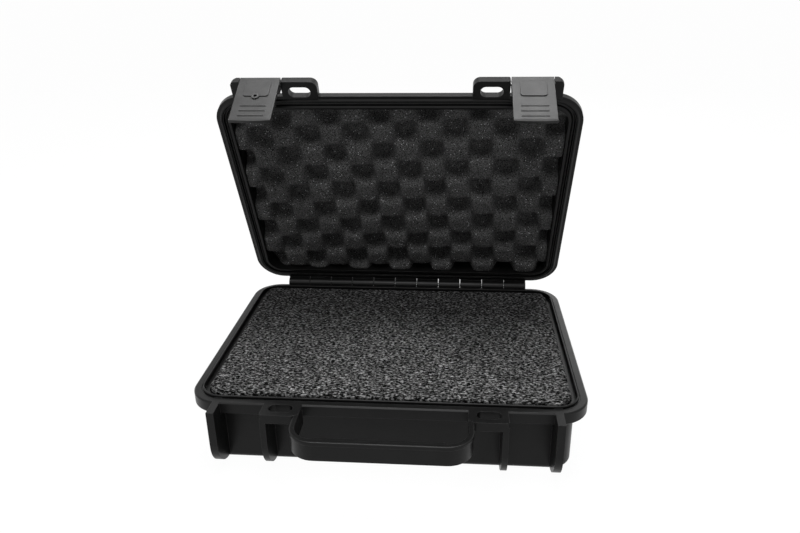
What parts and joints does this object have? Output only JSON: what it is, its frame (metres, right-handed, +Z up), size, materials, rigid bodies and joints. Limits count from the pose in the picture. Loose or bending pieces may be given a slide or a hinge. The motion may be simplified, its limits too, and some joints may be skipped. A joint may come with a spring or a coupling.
{
  "type": "microphone case",
  "caption": "Hard plastic carrying case with a rear-hinged lid, egg-crate lid foam, a filled foam base, snap latches, padlock tabs and a fixed front handle.",
  "frame": {"origin": "centre of the flat underside of the base, on the surface the case rests on", "axes": "+Z up, +X to the right seen from the front, +Y from the handle towards the hinge"},
  "size_m": [0.336, 0.3157, 0.3081],
  "materials": {
    "shell_plastic": "fine-grained moulded polypropylene, low sheen",
    "latch_plastic": "smooth satin moulded plastic",
    "seal": "soft black rubber cord",
    "pin_steel": "plain drawn steel",
    "lock_metal": "dull turned metal",
    "lid_foam": "open-cell egg-crate foam, charcoal",
    "base_foam": "coarse mottled grey cellular foam"
  },
  "bodies": {
    "base": {"base_shell": "shell_plastic", "hinge_pin": "pin_steel", "base_foam": "base_foam", "base_foam_top": "base_foam"},
    "lid": {"lid_shell": "shell_plastic", "lid_seal": "seal", "lid_foam": "lid_foam", "latch_pin_left": "pin_steel", "latch_pin_right": "pin_steel"},
    "left_latch": {"latch_left": "latch_plastic", "lock_barrel": "lock_metal"},
    "right_latch": {"latch_right": "latch_plastic"}
  },
  "joints": [
    {"name": "lid_hinge", "type": "hinge", "parent": "base", "child": "lid", "pos_m": [0, 0.1299, 0.0623], "axis": [-1, 0, 0], "range_deg": [-64.5, 45.5]},
    {"name": "left_latch_pivot", "type": "hinge", "parent": "lid", "child": "left_latch", "pos_m": [-0.1195, 0.02056, 0.30198], "axis": [-1, 0, 0], "range_deg": [-10, 95]},
    {"name": "right_latch_pivot", "type": "hinge", "parent": "lid", "child": "right_latch", "pos_m": [0.1195, 0.02056, 0.30198], "axis": [-1, 0, 0], "range_deg": [-10, 95]}
  ]
}
